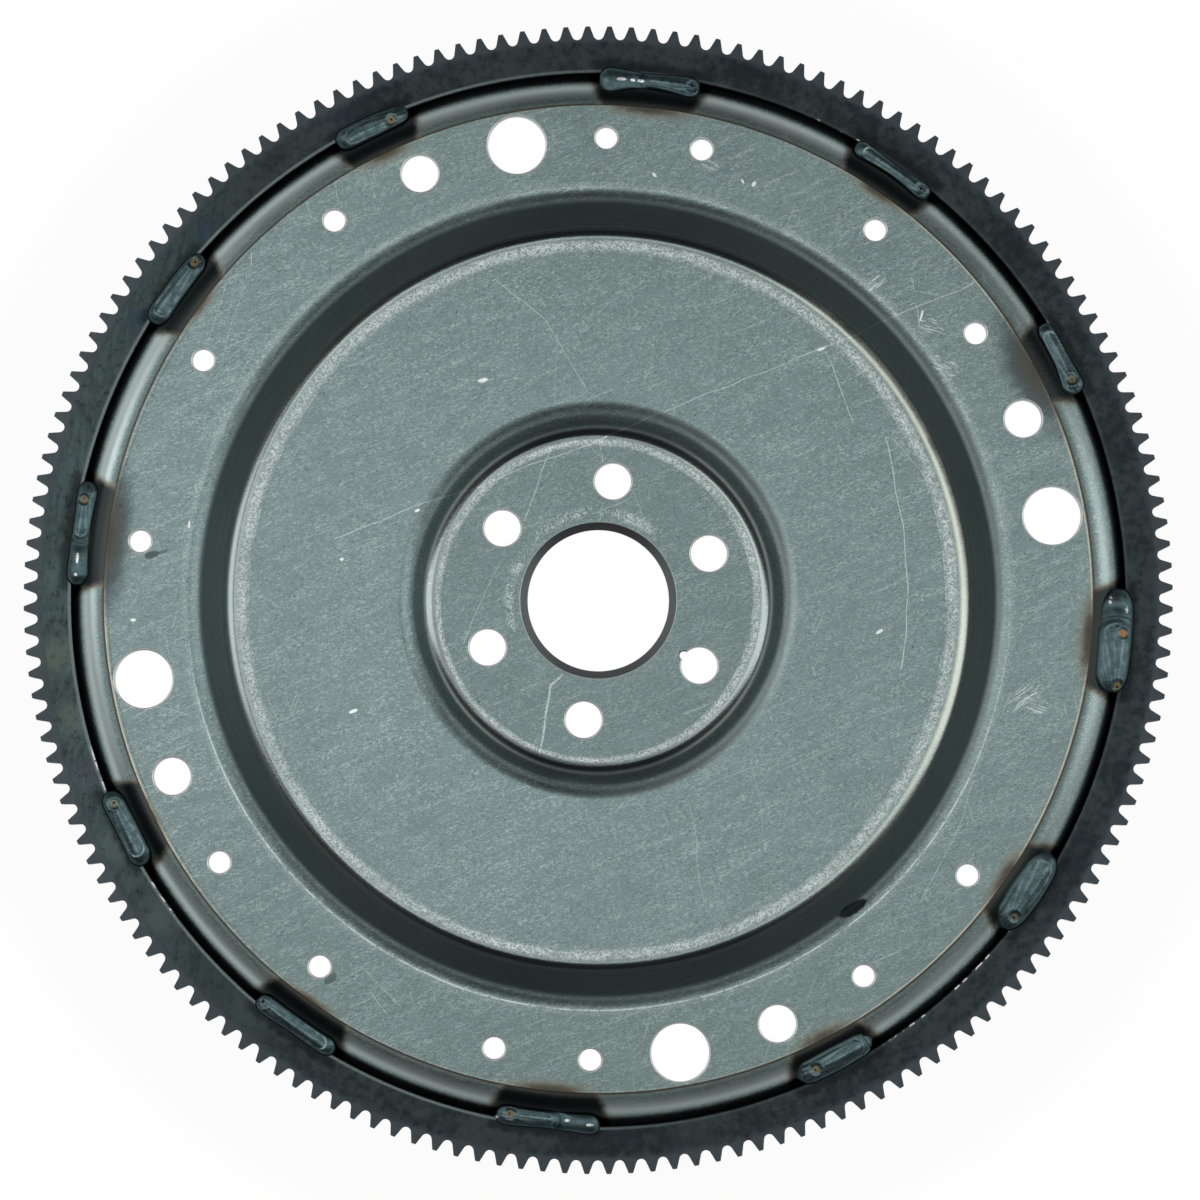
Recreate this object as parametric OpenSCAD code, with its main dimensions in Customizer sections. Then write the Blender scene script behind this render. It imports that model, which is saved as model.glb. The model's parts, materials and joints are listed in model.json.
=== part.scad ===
// Flexplate of an automatic transmission: a dished drive plate stamped from sheet steel,
// a toothed starter ring seated on its turned-down rim, and twelve weld beads between them.
// It lies on the underside of its hub with the torque converter's side up.
// Origin: on the axis, at the underside of the hub. +Z points to the converter's side.

/* [Drive plate] */
// Thickness of the steel sheet
sheet_t = 3.2; // [2:0.1:4.5]
// Diameter of the hub's floor, at the sharp corner under its wall
hub_corner_d = 108.6; // [100:0.1:120]
// Height from the hub's floor up to the dish's floor
hub_step = 8; // [6.5:0.1:11]
// Diameter of the dish's floor, at the sharp corner under its wall
dish_corner_d = 233.9; // [210:0.1:240]
// Height from the dish's floor up to the flange
dish_step = 12.5; // [8:0.1:16]
// Slope of both walls, from the flat
wall_angle = 53; // [48:0.5:65]
// Inside bend radius at the foot of a wall
foot_bend_r = 5.6; // [3:0.1:7]
// Inside bend radius at the brow of a wall
brow_bend_r = 3.5; // [2:0.1:4.5]
// Outside diameter of the turned-down rim, which is the starter ring's seat
rim_d = 331.2; // [326:0.1:338]
// Inside bend radius between the flange and the rim
rim_bend_r = 7.2; // [5:0.1:9]
// Height of the flange's flat land above the start of the rolled shoulder
land_step = 0.4; // [0.1:0.05:0.8]

/* [Centre bore] */
// Diameter of the bore
bore_d = 44.8; // [30:0.1:52]
// Height of the bore's straight wall, below the bevel on the converter's side
bore_land = 0.8; // [0.4:0.1:1.8]

/* [Crankshaft holes] */
// Diameter of the bolt circle
crank_pcd = 76.2; // [70:0.1:84]
// Diameter of each hole
crank_hole_d = 11.5; // [8:0.1:13]
// Number of holes
crank_holes = 6; // [3:1:8]
// Angle of the first hole
crank_angle = 23; // [0:0.1:60]
// How far the last hole is turned on from even spacing, so that the plate fits one way only
crank_key_turn = 4.2; // [0:0.1:10]
// Diameter of the small nick in the edge of the last hole
nick_d = 2.8; // [1:0.1:4]

/* [Converter holes] */
// Diameter of the circle that all the holes in the flange lie on
stud_pcd = 289.6; // [284:0.1:294]
// Number of stud holes
stud_holes = 4; // [3:1:6]
// Angle of the first stud hole
stud_angle = 22.8; // [0:0.1:45]
// Diameter of each stud hole
stud_hole_d = 11.6; // [8:0.1:14]
// Diameter of each access hole
access_hole_d = 18.1; // [12:0.1:20]
// Angle from an access hole to the stud hole after it
access_turn = 12.6; // [8:0.1:14]
// Diameter of each tooling hole
tooling_hole_d = 6.8; // [4:0.1:8]

/* [Starter ring] */
// Number of teeth
teeth = 164; // [120:1:190]
// Metal between the ring's bore and the bottom of the tooth gaps
ring_wall = 10.65; // [8:0.05:14]
// Depth of the tooth gaps
tooth_depth = 4.25; // [3:0.05:5]
// Width of a tooth's flat tip
tip_land = 1.4; // [0.8:0.1:1.8]
// Slope of a tooth's sides, from its middle line
pressure_angle = 20; // [14.5:0.5:24]
// Angle of the first tooth
tooth_angle = 1.06; // [0:0.01:2.2]
// Thickness of the ring along the axis
ring_w = 11; // [9:0.1:14]
// How far the ring's upper face lies below the flange
ring_drop = 3.3; // [2:0.1:6]
// Bevel on the edges of the ring's bore
ring_bevel = 0.5; // [0.2:0.1:1]
// Lead-in bevel over the teeth, on the side where the starter's pinion comes in
tooth_bevel = 1.2; // [0.4:0.1:2.5]

/* [Weld beads] */
// Radius of a bead's crown at its waist
bead_r = 5.4; // [5:0.1:6.4]
// How far a bead's middle line lies inside the rim's diameter
bead_inset = 3; // [2:0.1:4]
// How far a bead's middle line lies below the ring's upper face
bead_sink = 3.2; // [2:0.1:4]
// Depth of the weld's root below the ring's upper face
bead_root = 4.5; // [2:0.1:6]
// Radius of the hollow that the torch left at a bead's last end
crater_r = 2.4; // [1.5:0.1:4]
// Depth of that hollow
crater_depth = 0.8; // [0.2:0.1:1.4]

/* [Hidden] */
$fn = 128;
bend_steps = 10;
root_steps = 6;
cut_over = 1;

dish_floor_z = sheet_t + hub_step;
flange_z = dish_floor_z + dish_step;
shoulder_z = flange_z - land_step;
shoulder_r = rim_bend_r + sheet_t - land_step;
land_r = rim_d / 2 - rim_bend_r - sheet_t;
ring_top_z = flange_z - ring_drop;
ring_bottom_z = ring_top_z - ring_w;
root_d = rim_d + 2 * ring_wall;
tip_d = root_d + 2 * tooth_depth;
access_angle = stud_angle - access_turn;
last_crank_angle = crank_angle - 360 / crank_holes + crank_key_turn;

// Tooling holes of each quarter of the flange, as turns from its access hole
tooling_turns = [[24.8, 42.8, 66.8, 78.8], [24.8, 48.8, 72.8], [24.8, 42.8, 66.8, 78.8], [24.8, 42.8]];

// Weld beads round the rim, each as [angle of its middle, length along the rim,
// how much fuller than its waist its first end is, and its last end]
welds = [
    [27.4, 26, 0.2, 0.8], [55.4, 29.5, 0.3, 0.4], [84.2, 32.5, 1, 0.5], [115.4, 27, 0.5, 0.3],
    [143.7, 27, 0.7, 0.3], [172.9, 31.5, 0.6, 0.5], [206, 26, 0.7, 0.6], [234.9, 29, 0.2, 0.4],
    [264.3, 33.5, 0.4, 0.5], [297.4, 28.5, 0.6, 0.5], [325.5, 28.5, 0.9, 0.6], [355.2, 32, 1, 0.9]
];

function weld_name(i) = str("weld_bead_", i < 9 ? "0" : "", i + 1);

function unit(v) = v / norm(v);
function left_of(v) = [-v[1], v[0]];
function turned(v, a) = [v[0] * cos(a) - v[1] * sin(a), v[0] * sin(a) + v[1] * cos(a)];
function turn_between(u, v) = atan2(u[0] * v[1] - u[1] * v[0], u * v);
function backwards(list) = [for (i = [len(list) - 1 : -1 : 0]) list[i]];

// Points of the round that replaces the corner c on the way from a to b
function bend(a, c, b, r) =
    let (u = unit(c - a))
    let (turn = turn_between(u, unit(b - c)))
    let (start = c - u * r * tan(abs(turn) / 2))
    let (centre = start + left_of(u) * sign(turn) * r)
    [for (k = [0 : bend_steps]) centre + turned(start - centre, turn * k / bend_steps)];

// The corner c on the way from a to b, moved to the right by the distance d
function moved_corner(a, c, b, d) =
    let (m = left_of(unit(c - a)), n = left_of(unit(b - c)))
    c - d * (m + n) / (1 + m * n);

// Radius of a bend on the face that lies d to the right of the sheet's upper face
function face_bend_r(a, c, b, r, d) =
    turn_between(c - a, b - c) > 0 ? r + d : r + sheet_t - d;

// One face of the bent sheet: its corners are moved by d, and each is rounded
function sheet_face(corners, radii, d) =
    let (last = len(corners) - 1)
    let (first_n = left_of(unit(corners[1] - corners[0])))
    let (last_n = left_of(unit(corners[last] - corners[last - 1])))
    let (moved = [
        for (i = [0 : last])
            i == 0 ? corners[0] - d * first_n :
            i == last ? corners[last] - d * last_n :
            moved_corner(corners[i - 1], corners[i], corners[i + 1], d)
    ])
    [
        moved[0],
        for (i = [1 : last - 1])
            let (r = face_bend_r(corners[i - 1], corners[i], corners[i + 1], radii[i - 1], d))
            each bend(moved[i - 1], moved[i], moved[i + 1], r),
        moved[last]
    ];

// Sharp corners of the sheet's upper face from the bore to the flange's end, as [radius, height]
function dish_corners(flange_end_r) =
    let (hub_r = hub_corner_d / 2, dish_r = dish_corner_d / 2)
    [
        [bore_d / 2, sheet_t],
        [hub_r, sheet_t],
        [hub_r + hub_step / tan(wall_angle), dish_floor_z],
        [dish_r, dish_floor_z],
        [dish_r + dish_step / tan(wall_angle), flange_z],
        [flange_end_r, flange_z]
    ];

wall_bends = [foot_bend_r, brow_bend_r, foot_bend_r, brow_bend_r];
rim_edge = [rim_d / 2, ring_bottom_z];

// The shoulder's upper face: the foot of the step below the flange's land, the roll over, and the rim
function shoulder_face() =
    let (foot = [land_r, shoulder_z], corner = [rim_d / 2, shoulder_z])
    concat([foot], bend(foot, corner, rim_edge, shoulder_r), [rim_edge]);

upper_face = concat(sheet_face(dish_corners(land_r), wall_bends, 0), shoulder_face());
lower_corners = concat(dish_corners(rim_d / 2), [rim_edge]);
lower_face = sheet_face(lower_corners, concat(wall_bends, [rim_bend_r]), sheet_t);

module sheet_blank() {
    rotate_extrude()
        polygon(concat(upper_face, backwards(lower_face)));
}

// Everything below the sheet's upper face, down to the hub's underside
module under_sheet() {
    rotate_extrude()
        polygon(concat(upper_face, [[rim_d / 2, 0], [bore_d / 2, 0]]));
}

module hole_at(pcd, angle, d, top_z) {
    rotate(angle)
        translate([pcd / 2, 0, top_z - sheet_t - cut_over])
            cylinder(d = d, h = sheet_t + 2 * cut_over);
}

module bore_bevel_cut() {
    h = sheet_t - bore_land + cut_over;
    translate([0, 0, bore_land])
        cylinder(d1 = bore_d, d2 = bore_d + 2 * h, h = h);
}

module crank_hole_cuts() {
    for (i = [0 : crank_holes - 2])
        hole_at(crank_pcd, crank_angle + i * 360 / crank_holes, crank_hole_d, sheet_t);
    hole_at(crank_pcd, last_crank_angle, crank_hole_d, sheet_t);
    hole_at(crank_pcd - crank_hole_d, last_crank_angle, nick_d, sheet_t);
}

module flange_hole_cuts() {
    stud_turn = 360 / stud_holes;
    quarter_turn = 360 / len(tooling_turns);
    for (i = [0 : stud_holes - 1]) {
        hole_at(stud_pcd, stud_angle + i * stud_turn, stud_hole_d, flange_z);
        hole_at(stud_pcd, access_angle + i * stud_turn, access_hole_d, flange_z);
    }
    for (i = [0 : len(tooling_turns) - 1])
        for (turn = tooling_turns[i])
            hole_at(stud_pcd, access_angle + i * quarter_turn + turn, tooling_hole_d, flange_z);
}

module drive_plate() {
    color("#74807c")
        difference() {
            sheet_blank();
            bore_bevel_cut();
            crank_hole_cuts();
            flange_hole_cuts();
        }
}

// Outline of one tooth gap from tip to tip, seen along the axis, with a full round at its bottom
function tooth_gap(middle) =
    let (half_mouth = PI * tip_d / teeth / 2 - tip_land / 2)
    let (slope = pressure_angle + 180 / teeth)
    let (apex = tip_d / 2 - half_mouth / tan(slope))
    let (centre = (root_d / 2 - apex * sin(slope)) / (1 - sin(slope)))
    let (r = (centre - apex) * sin(slope))
    let (sweep = 180 - 2 * slope)
    let (arc = [for (k = [0 : root_steps]) -90 - sweep / 2 + sweep * k / root_steps])
    [
        turned([tip_d / 2, -half_mouth], middle),
        for (a = arc) turned([centre - r * cos(a + 90), r * sin(a + 90)], middle),
        turned([tip_d / 2, half_mouth], middle)
    ];

module ring_blank() {
    bore_r = rim_d / 2;
    rotate_extrude()
        polygon([
            [bore_r + ring_bevel, ring_bottom_z],
            [tip_d / 2 - tooth_bevel, ring_bottom_z],
            [tip_d / 2 + cut_over, ring_bottom_z + tooth_bevel + cut_over],
            [tip_d / 2 + cut_over, ring_top_z],
            [bore_r + ring_bevel, ring_top_z],
            [bore_r, ring_top_z - ring_bevel],
            [bore_r, ring_bottom_z + ring_bevel]
        ]);
}

module tooth_outline() {
    pitch = 360 / teeth;
    polygon([for (i = [0 : teeth - 1]) each tooth_gap(tooth_angle + (i + 0.5) * pitch)]);
}

module ring_gear() {
    color("#3a4244")
        intersection() {
            translate([0, 0, ring_bottom_z - cut_over])
                linear_extrude(ring_w + 2 * cut_over)
                    tooth_outline();
            ring_blank();
        }
}

bead_line_r = rim_d / 2 - bead_inset;
bead_line_z = ring_top_z - bead_sink;

// Turn from the middle of a bead to the centre of its end, where the bead has the radius end_r
function end_turn(length, end_r) =
    (length / 2 - sqrt(end_r ^ 2 - bead_sink ^ 2)) / bead_line_r * 180 / PI;

module bead_ball(angle, r, z) {
    rotate(angle)
        translate([bead_line_r, 0, z])
            sphere(r);
}

module weld_bead(place) {
    first_r = bead_r + place[2];
    last_r = bead_r + place[3];
    first_angle = place[0] + end_turn(place[1], first_r);
    last_angle = place[0] - end_turn(place[1], last_r);
    color("#39474b")
        difference() {
            union() {
                rotate(last_angle)
                    rotate_extrude(angle = first_angle - last_angle)
                        translate([bead_line_r, bead_line_z])
                            circle(bead_r);
                bead_ball(first_angle, first_r, bead_line_z);
                bead_ball(last_angle, last_r, bead_line_z);
            }
            bead_ball(last_angle, crater_r, bead_line_z + last_r - crater_depth + crater_r);
            under_sheet();
            ring_blank();
            cylinder(d = tip_d, h = ring_top_z - bead_root);
        }
}

drive_plate();
ring_gear();
for (i = [0 : len(welds) - 1])
    weld_bead(welds[i]);
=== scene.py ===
import json
import math
from functools import reduce

import bpy
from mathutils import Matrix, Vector


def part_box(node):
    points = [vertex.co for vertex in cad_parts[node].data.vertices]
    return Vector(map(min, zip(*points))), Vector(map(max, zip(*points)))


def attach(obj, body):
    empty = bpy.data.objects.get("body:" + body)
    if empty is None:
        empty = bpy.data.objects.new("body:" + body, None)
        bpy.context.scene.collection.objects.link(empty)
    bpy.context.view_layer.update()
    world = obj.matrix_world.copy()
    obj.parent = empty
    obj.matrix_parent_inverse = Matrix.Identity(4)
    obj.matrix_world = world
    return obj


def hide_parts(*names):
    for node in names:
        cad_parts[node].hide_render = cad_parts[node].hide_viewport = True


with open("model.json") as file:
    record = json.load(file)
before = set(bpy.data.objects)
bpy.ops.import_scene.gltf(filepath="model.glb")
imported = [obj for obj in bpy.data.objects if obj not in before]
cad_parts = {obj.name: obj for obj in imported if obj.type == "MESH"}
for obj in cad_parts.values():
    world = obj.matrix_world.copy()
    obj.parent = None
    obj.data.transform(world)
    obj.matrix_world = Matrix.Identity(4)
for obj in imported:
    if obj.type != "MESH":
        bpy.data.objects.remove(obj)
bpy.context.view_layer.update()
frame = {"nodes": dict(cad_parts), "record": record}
mounts = {mount["name"]: mount for mount in frame["record"]["mounts"]}
mm = 0.001
print("frame loaded:", len(frame["nodes"]), "nodes")


# mesh helpers, each one acting on the active piece

def startFrom(name, primitive, **sizes):
    bpy.ops.object.select_all(action="DESELECT")
    primitive(**sizes)
    piece = bpy.context.active_object
    piece.name = name
    piece.data.name = name
    return piece


def copyOf(piece, name):
    twin = piece.copy()
    twin.data = piece.data.copy()
    twin.name = name
    bpy.context.collection.objects.link(twin)
    return twin


def makeActive(piece):
    bpy.ops.object.select_all(action="DESELECT")
    piece.select_set(True)
    bpy.context.view_layer.objects.active = piece


def joinAll(pieces):
    makeActive(pieces[0])
    for piece in pieces:
        piece.select_set(True)
    bpy.ops.object.join()
    return bpy.context.active_object


def applyModifier(piece, kind, **settings):
    makeActive(piece)
    modifier = piece.modifiers.new(kind.lower(), kind)
    for name, value in settings.items():
        setattr(modifier, name, value)
    bpy.ops.object.modifier_apply(modifier=modifier.name)


def selectVertices(piece, test):
    for face in piece.data.polygons:
        face.select = False
    for edge in piece.data.edges:
        edge.select = False
    for vertex in piece.data.vertices:
        vertex.select = test(vertex.co)


def faceOutwards(piece):
    makeActive(piece)
    bpy.ops.object.mode_set(mode="EDIT")
    bpy.ops.mesh.select_all(action="SELECT")
    bpy.ops.mesh.normals_make_consistent(inside=False)
    bpy.ops.object.mode_set(mode="OBJECT")


def cutAway(piece, cutter):
    applyModifier(piece, "BOOLEAN", object=cutter, operation="DIFFERENCE", solver="EXACT")
    bpy.data.objects.remove(cutter)


def smoothFinish(piece, angle):
    makeActive(piece)
    bpy.ops.object.shade_smooth_by_angle(angle=math.radians(angle))
    applyModifier(piece, "WEIGHTED_NORMAL", keep_sharp=True)


def spunFromOutline(name, outline, steps):
    # a ring of points is laid along the outline in the XZ plane, then spun round the axis
    piece = startFrom(name, bpy.ops.mesh.primitive_circle_add, vertices=len(outline), radius=mm)
    for vertex, (radius, height) in zip(piece.data.vertices, outline):
        vertex.co = (radius, 0, height)
    bpy.ops.object.mode_set(mode="EDIT")
    bpy.ops.mesh.select_all(action="SELECT")
    bpy.ops.mesh.spin(steps=steps, angle=math.tau, center=(0, 0, 0), axis=(0, 0, 1))
    bpy.ops.mesh.select_all(action="SELECT")
    bpy.ops.mesh.remove_doubles(threshold=0.001 * mm)
    bpy.ops.mesh.normals_make_consistent(inside=False)
    bpy.ops.object.mode_set(mode="OBJECT")
    return piece


def roundedCorner(before, corner, after, radius, stepAngle):
    # points of the arc that replaces one corner of an outline
    before, corner, after = Vector(before), Vector(corner), Vector(after)
    inward = (corner - before).normalized()
    outward = (after - corner).normalized()
    turn = math.atan2(inward.x * outward.y - inward.y * outward.x, inward.dot(outward))
    start = corner - inward * radius * math.tan(abs(turn) / 2)
    centre = start + Vector((-inward.y, inward.x)) * math.copysign(radius, turn)
    steps = max(2, math.ceil(math.degrees(abs(turn)) / stepAngle))
    spoke = start - centre
    points = []
    for k in range(steps + 1):
        a = turn * k / steps
        x = spoke.x * math.cos(a) - spoke.y * math.sin(a)
        y = spoke.x * math.sin(a) + spoke.y * math.cos(a)
        points.append((centre.x + x, centre.y + y))
    return points


def roundedOutline(corners, bendStep, tightStep):
    # bends of under a millimetre take the coarser step
    outline = []
    count = len(corners)
    for i, (radius, height, bend) in enumerate(corners):
        before, after = corners[i - 1][:2], corners[(i + 1) % count][:2]
        if bend:
            stepAngle = bendStep if bend > mm else tightStep
            outline += roundedCorner(before, (radius, height), after, bend, stepAngle)
        else:
            outline.append((radius, height))
    return outline


# weld beads: where each one sits, and how it was laid
# reach: along the rim from the bead's middle, first end to last end; outer and inner: the toes' radii
# crater and spot: along the rim, and the radius; valley: along the rim, where two lobes meet
# slag: glass left in the crater; heat: how far the tint spreads; glints: painted highlights, along, radius
# and half length

welds = [
    dict(angle=27.4, reach=(-12.7, 12.6), outer=(166.8, 166.7, 167.6), inner=(161.3, 161.0, 159.7),
         crater=(7.5, 164.0), slag=0.55, valley=None, heat=1.3),
    dict(angle=55.4, reach=(-14.6, 14.1), outer=(167.1, 165.8, 166.8), inner=(161.2, 161.8, 160.9),
         crater=(10.1, 164.0), slag=0.1, valley=None, heat=0.6),
    dict(angle=84.2, reach=(-16.6, 16.1), outer=(168.1, 166.4, 167.2), inner=(159.1, 161.4, 159.9),
         crater=(12.9, 164.0), slag=0.0, valley=-2.0, heat=0.8,
         glints=((-9.2, 163.7, 2.0), (-5.6, 163.6, 0.9), (-3.2, 163.5, 1.4))),
    dict(angle=115.4, reach=(-13.2, 11.9), outer=(168.7, 168.5, 167.7), inner=(161.4, 161.2, 161.8),
         crater=(5.5, 164.2), slag=1.0, valley=None, heat=0.8),
    dict(angle=143.7, reach=(-13.5, 13.4), outer=(168.5, 168.2, 167.9), inner=(160.9, 161.1, 161.5),
         crater=(9.6, 165.2), slag=0.8, valley=None, heat=0.45),
    dict(angle=172.9, reach=(-16.6, 16.8), outer=(167.5, 166.8, 167.3), inner=(160.3, 160.9, 160.6),
         crater=(10.6, 164.5), slag=0.8, valley=-1.9, heat=1.0,
         glints=((-7.8, 164.0, 2.1), (-13.0, 164.2, 0.6))),
    dict(angle=206.0, reach=(-13.2, 12.9), outer=(168.7, 168.3, 168.9), inner=(161.2, 160.9, 161.5),
         crater=(8.3, 165.0), slag=0.3, valley=None, heat=0.25),
    dict(angle=234.9, reach=(-14.4, 15.1), outer=(167.5, 167.1, 168.0), inner=(161.4, 161.2, 161.4),
         crater=(12.7, 164.5), slag=0.1, valley=None, heat=0.45),
    dict(angle=264.3, reach=(-17.1, 16.0), outer=(168.5, 167.2, 167.9), inner=(161.8, 161.5, 161.3),
         crater=(11.2, 163.9), slag=0.6, valley=-3.3, heat=0.8,
         glints=((15.4, 165.7, 0.8), (-13.5, 165.2, 1.3), (-6.5, 164.0, 1.0))),
    dict(angle=297.4, reach=(-12.7, 14.1), outer=(166.3, 166.6, 166.6), inner=(158.7, 158.4, 159.0),
         crater=(7.5, 162.7), slag=0.6, valley=None, heat=0.9),
    dict(angle=325.5, reach=(-14.6, 14.1), outer=(167.7, 168.3, 167.7), inner=(158.2, 157.4, 158.6),
         crater=(8.6, 164.3), slag=0.4, valley=None, heat=0.85),
    dict(angle=355.2, reach=(-17.1, 16.8), outer=(168.3, 168.5, 168.2), inner=(158.4, 157.2, 157.8),
         crater=(13.8, 165.2), slag=0.7, valley=-6.5, heat=0.9, spot=(-2.5, 165.0),
         glints=((-9.7, 166.0, 1.1), (-12.2, 160.6, 0.8), (-13.6, 160.9, 0.5))),
]
weldLine = 162.6  # radius in millimetres along which the beads' reach is measured


def nearestWeld(x, y):
    # how far inside the nearest bead's ends a place lies, in millimetres along the rim, and that bead
    angle = math.degrees(math.atan2(y, x))
    found = []
    for weld in welds:
        first, last = weld["reach"]
        turn = (weld["angle"] - angle + 180) % 360 - 180
        along = math.radians(turn) * weldLine - (first + last) / 2
        found.append(((last - first) / 2 - abs(along), weld["heat"]))
    return max(found)


def addWeldAttributes(piece):
    inside = piece.data.attributes.new("weldInside", "FLOAT", "POINT")
    heat = piece.data.attributes.new("weldHeat", "FLOAT", "POINT")
    for i, vertex in enumerate(piece.data.vertices):
        inside.data[i].value, heat.data[i].value = nearestWeld(vertex.co.x, vertex.co.y)


# drive plate: one bent sheet, spun from its section and pierced

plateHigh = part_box("drive_plate")[1]
ringLow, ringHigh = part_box("ring_gear")
plate = dict(
    sheet=3.2 * mm, hubCorner=54.3 * mm, hubStep=8 * mm, dishCorner=116.95 * mm, dishStep=12.5 * mm,
    wallAngle=53, footBend=5.6 * mm, browBend=3.5 * mm, rimBend=7.2 * mm, landStep=0.4 * mm,
    boreLand=0.8 * mm, edgeRound=0.3 * mm, landRound=0.14 * mm, landRim=4 * mm,
    holeLip=0.5 * mm, lipSteps=4, lipArea=2 * mm * mm, lipTilt=(0.02, 0.9999),
    bendStep=4, tightStep=30, spinSteps=360, smoothAngle=35, studAngle=22.8, accessAngle=10.2,
    accessRadius=9.05 * mm, toolingRadius=3.4 * mm, nickRadius=1.4 * mm,
    punchSides=dict(crank=64, stud=64, access=80, tooling=48, nick=32),
    toolingTurns=((24.8, 42.8, 66.8, 78.8), (24.8, 48.8, 72.8), (24.8, 42.8, 66.8, 78.8), (24.8, 42.8)),
)
rimRadius = plateHigh.x
flangeTop = plateHigh.z
ringTop = ringHigh.z
rimBottom = ringLow.z
landRadius = rimRadius - plate["rimBend"] - plate["sheet"]
shoulderTop = flangeTop - plate["landStep"]
shoulderBend = plate["rimBend"] + plate["sheet"] - plate["landStep"]


def plateSection():
    t = plate["sheet"]
    foot, brow = plate["footBend"], plate["browBend"]
    slope = math.tan(math.radians(plate["wallAngle"]))
    skew = t * math.tan(math.radians(plate["wallAngle"] / 2))
    bore = mounts["crank_bore"]["dims"]["r_mm"] * mm
    dishFloor = t + plate["hubStep"]
    hubTop = plate["hubCorner"] + plate["hubStep"] / slope
    dishTop = plate["dishCorner"] + plate["dishStep"] / slope
    edge, land = plate["edgeRound"], plate["landRound"]
    upper = [
        (bore, plate["boreLand"], edge), (bore + t - plate["boreLand"], t, edge),
        (plate["hubCorner"], t, foot), (hubTop, dishFloor, brow + t),
        (plate["dishCorner"], dishFloor, foot), (dishTop, flangeTop, brow + t),
        (landRadius - plate["landRim"], flangeTop, 0),
        (landRadius, flangeTop, land), (landRadius, shoulderTop, land),
        (rimRadius, shoulderTop, shoulderBend), (rimRadius, rimBottom, edge),
    ]
    lower = [
        (rimRadius - t, rimBottom, edge), (rimRadius - t, flangeTop - t, plate["rimBend"]),
        (dishTop + skew, flangeTop - t, brow), (plate["dishCorner"] + skew, dishFloor - t, foot + t),
        (hubTop + skew, dishFloor - t, brow), (plate["hubCorner"] + skew, 0, foot + t),
        (bore, 0, edge),
    ]
    return roundedOutline(upper + lower, plate["bendStep"], plate["tightStep"])


def holeCutter(name, radius, vertices):
    # a straight punch that flares at both faces, so the hole's rims come out rounded
    lip, t = plate["holeLip"], plate["sheet"]
    cutter = startFrom(name, bpy.ops.mesh.primitive_cylinder_add, vertices=vertices, radius=radius,
                       depth=t - 2 * lip)
    for side in (1, -1):
        selectVertices(cutter, lambda co: co.z * side > 0)
        bpy.ops.object.mode_set(mode="EDIT")
        bpy.ops.mesh.select_mode(type="VERT")
        grown, height = radius, t / 2 - lip
        for k in range(1, plate["lipSteps"] + 2):
            a = math.radians(90) * min(k / plate["lipSteps"], 1)
            wider = radius + lip * (1 - math.cos(a))
            higher = t / 2 - lip + lip * math.sin(a)
            if k > plate["lipSteps"]:
                higher += lip
            bpy.ops.mesh.extrude_region_move(
                TRANSFORM_OT_translate={"value": (0, 0, side * (higher - height))})
            bpy.ops.transform.resize(value=(wider / grown, wider / grown, 1))
            grown, height = wider, higher
        bpy.ops.object.mode_set(mode="OBJECT")
    faceOutwards(cutter)
    return cutter


def onCircle(radius, angle, height):
    a = math.radians(angle)
    return Vector((radius * math.cos(a), radius * math.sin(a), height))


def punchedAt(cutter, places):
    made = []
    for i, place in enumerate(places):
        twin = copyOf(cutter, f"{cutter.name}.{i}")
        for vertex in twin.data.vertices:
            vertex.co = vertex.co + place
        made.append(twin)
    bpy.data.objects.remove(cutter)
    return made


def markHoleLips(piece, holes):
    # small sloped faces within a lip's reach of a hole are its rounded rim
    lips = piece.data.attributes.new("holeLip", "FLOAT", "FACE")
    reach = plate["holeLip"]
    low, high = plate["lipTilt"]
    for face in piece.data.polygons:
        if face.area < plate["lipArea"] and low < abs(face.normal.z) < high:
            lips.data[face.index].value = any(
                radius < (face.center.xy - place.xy).length < radius + reach for place, radius in holes)


def makePlate():
    piece = spunFromOutline("plate", plateSection(), plate["spinSteps"])
    t = plate["sheet"]
    studs = mounts["converter_studs"]["dims"]
    circle, flangeMiddle = studs["pcd_mm"] / 2 * mm, flangeTop - t / 2
    quarters = [360 / studs["count"] * k for k in range(studs["count"])]
    crankPlaces = [Vector(mounts[f"crank_bolt_hole_{i}"]["pos_m"]) for i in range(1, 7)]
    crankRadius = mounts["crank_bolt_hole_1"]["dims"]["r_mm"] * mm
    studAngles = [plate["studAngle"] + q for q in quarters]
    accessAngles = [plate["accessAngle"] + q for q in quarters]
    toolingAngles = [a + turn for a, turns in zip(accessAngles, plate["toolingTurns"]) for turn in turns]
    punches = [("crank", crankRadius, crankPlaces)]
    for name, radius, angles in (("stud", studs["hole_r_mm"] * mm, studAngles),
                                 ("access", plate["accessRadius"], accessAngles),
                                 ("tooling", plate["toolingRadius"], toolingAngles)):
        punches.append((name, radius, [onCircle(circle, a, flangeMiddle) for a in angles]))
    cutters, holes = [], []
    for name, radius, places in punches:
        cutters += punchedAt(holeCutter(name + "Punch", radius, plate["punchSides"][name]), places)
        holes += [(place, radius) for place in places]
    cutAway(piece, joinAll(cutters))
    last = crankPlaces[-1]
    nickPlace = last * ((last.xy.length - crankRadius) / last.xy.length)
    nickPlace.z = t / 2
    nick = holeCutter("nickPunch", plate["nickRadius"], plate["punchSides"]["nick"])
    cutAway(piece, punchedAt(nick, [nickPlace])[0])
    smoothFinish(piece, plate["smoothAngle"])
    addWeldAttributes(piece)
    markHoleLips(piece, holes)
    return piece


platePiece = makePlate()
print("plate:", len(platePiece.data.polygons), "faces")


# ring gear: the tooth outline, closed inwards to the bore, thickened and edge-broken

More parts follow.
